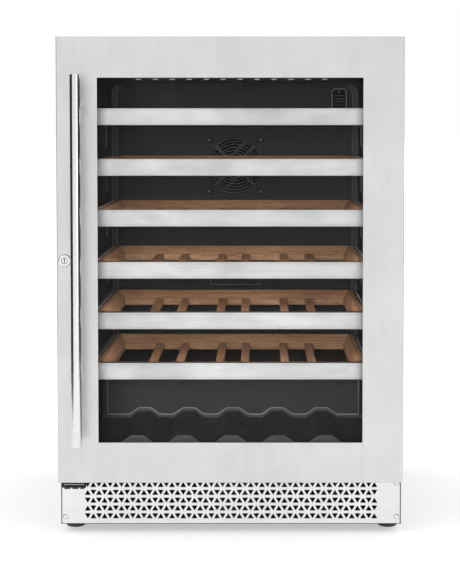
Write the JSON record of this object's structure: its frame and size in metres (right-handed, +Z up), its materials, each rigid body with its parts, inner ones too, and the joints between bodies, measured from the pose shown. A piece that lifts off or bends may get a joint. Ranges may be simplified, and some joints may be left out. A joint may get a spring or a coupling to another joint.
{
  "type": "wine cooler",
  "caption": "Built-in undercounter wine cooler: glass door with a bar handle and lock, pull-out wooden racks, waved bottle tray, rear fan duct and perforated toe kick.",
  "frame": {"origin": "on the floor, under the centre of the whole appliance's box", "axes": "+X to the viewer's right, +Y from the door to the back, +Z up"},
  "size_m": [0.597, 0.622, 0.868],
  "materials": {
    "black_paint": "satin powder coat",
    "zinc_sheet": "galvanised",
    "stainless": "fine brushed",
    "polished_steel": "polished",
    "slide_steel": "black zinc",
    "beech": "oiled",
    "foam": "rigid foam",
    "liner_plastic": "fine matt",
    "black_plastic": "matt",
    "tray_plastic": "semi-gloss",
    "black_rubber": "matt",
    "clear_glass": "clear",
    "aluminium": "mill",
    "copper": "drawn copper",
    "led_lens": "clear lens",
    "nylon": "natural"
  },
  "bodies": {
    "cabinet": {"base_pan": "zinc_sheet", "bottle_tray": "tray_plastic", "cabinet_panels": "black_paint", "ceiling_console": "liner_plastic", "compressor": "black_paint", "compressor_mounts": "black_rubber", "condenser_coil": "aluminium", "condenser_fan_frame": "black_plastic", "cord_gland": "black_plastic", "drip_tray": "black_plastic", "duct_cover": "liner_plastic", "evaporator_coil": "aluminium", "evaporator_fan_frame": "black_plastic", "fan_guard": "liner_plastic", "hinge_brackets": "black_paint", "inner_liner": "liner_plastic", "insulation_foam": "foam", "led_lenses": "led_lens", "lock_strike": "black_paint", "rack_guides": "black_paint", "rear_panel": "zinc_sheet", "refrigerant_pipes": "copper", "sensor_cover": "liner_plastic", "toe_kick_grille": "stainless", "toe_kick_screws": "polished_steel"},
    "door": {"door_core": "black_plastic", "door_gasket": "black_rubber", "door_skin": "stainless", "glass_panes": "clear_glass", "glass_spacer": "aluminium", "glass_surround": "black_plastic", "handle_bar": "polished_steel", "handle_fittings": "polished_steel", "hinge_bushes": "nylon", "lock_barrel": "polished_steel"},
    "lock": {"lock_plug": "polished_steel"},
    "evaporator_rotor": {"evaporator_fan_rotor": "black_plastic"},
    "condenser_rotor": {"condenser_fan_rotor": "black_plastic"},
    "rack_1": {"rack_1_trim": "stainless", "rack_1_wood": "beech", "rack_1_runners": "slide_steel"},
    "rack_2": {"rack_2_trim": "stainless", "rack_2_wood": "beech", "rack_2_runners": "slide_steel"},
    "rack_3": {"rack_3_trim": "stainless", "rack_3_wood": "beech", "rack_3_runners": "slide_steel"},
    "rack_4": {"rack_4_trim": "stainless", "rack_4_wood": "beech", "rack_4_runners": "slide_steel"},
    "rack_5": {"rack_5_trim": "stainless", "rack_5_wood": "beech", "rack_5_runners": "slide_steel"},
    "rack_6": {"rack_6_trim": "stainless", "rack_6_wood": "beech", "rack_6_runners": "slide_steel"},
    "foot_front_left": {"foot_front_left": "black_paint"},
    "foot_front_right": {"foot_front_right": "black_paint"},
    "foot_rear_left": {"foot_rear_left": "black_paint"},
    "foot_rear_right": {"foot_rear_right": "black_paint"}
  },
  "joints": [
    {"name": "door_hinge", "type": "hinge", "parent": "cabinet", "child": "door", "pos_m": [0.286, -0.241, 0.484], "axis": [0, 0, 1], "range_deg": [0, 110]},
    {"name": "lock_turn", "type": "hinge", "parent": "door", "child": "lock", "pos_m": [-0.284, -0.234, 0.485], "axis": [0, 1, 0], "range_deg": [0, 90]},
    {"name": "evaporator_fan_spin", "type": "hinge", "parent": "cabinet", "child": "evaporator_rotor", "pos_m": [0, 0.233, 0.6356], "axis": [0, 1, 0], "continuous": true},
    {"name": "condenser_fan_spin", "type": "hinge", "parent": "cabinet", "child": "condenser_rotor", "pos_m": [0.11, 0.181, 0.12], "axis": [0, 1, 0], "continuous": true},
    {"name": "rack_1_slide", "type": "slide", "parent": "cabinet", "child": "rack_1", "axis": [0, -1, 0], "range_m": [0, 0.33]},
    {"name": "rack_2_slide", "type": "slide", "parent": "cabinet", "child": "rack_2", "axis": [0, -1, 0], "range_m": [0, 0.33]},
    {"name": "rack_3_slide", "type": "slide", "parent": "cabinet", "child": "rack_3", "axis": [0, -1, 0], "range_m": [0, 0.33]},
    {"name": "rack_4_slide", "type": "slide", "parent": "cabinet", "child": "rack_4", "axis": [0, -1, 0], "range_m": [0, 0.33]},
    {"name": "rack_5_slide", "type": "slide", "parent": "cabinet", "child": "rack_5", "axis": [0, -1, 0], "range_m": [0, 0.33]},
    {"name": "rack_6_slide", "type": "slide", "parent": "cabinet", "child": "rack_6", "axis": [0, -1, 0], "range_m": [0, 0.33]},
    {"name": "foot_front_left_level", "type": "slide", "parent": "cabinet", "child": "foot_front_left", "axis": [0, 0, -1], "range_m": [0, 0.02]},
    {"name": "foot_front_right_level", "type": "slide", "parent": "cabinet", "child": "foot_front_right", "axis": [0, 0, -1], "range_m": [0, 0.02]},
    {"name": "foot_rear_left_level", "type": "slide", "parent": "cabinet", "child": "foot_rear_left", "axis": [0, 0, -1], "range_m": [0, 0.02]},
    {"name": "foot_rear_right_level", "type": "slide", "parent": "cabinet", "child": "foot_rear_right", "axis": [0, 0, -1], "range_m": [0, 0.02]}
  ],
  "couplings": [
    {"joint": "rack_1_slide", "follows": "door_hinge", "m_per_rad": 0.06},
    {"joint": "rack_2_slide", "follows": "door_hinge", "m_per_rad": 0.06},
    {"joint": "rack_3_slide", "follows": "door_hinge", "m_per_rad": 0.06},
    {"joint": "rack_4_slide", "follows": "door_hinge", "m_per_rad": 0.06},
    {"joint": "rack_5_slide", "follows": "door_hinge", "m_per_rad": 0.06},
    {"joint": "rack_6_slide", "follows": "door_hinge", "m_per_rad": 0.06}
  ]
}
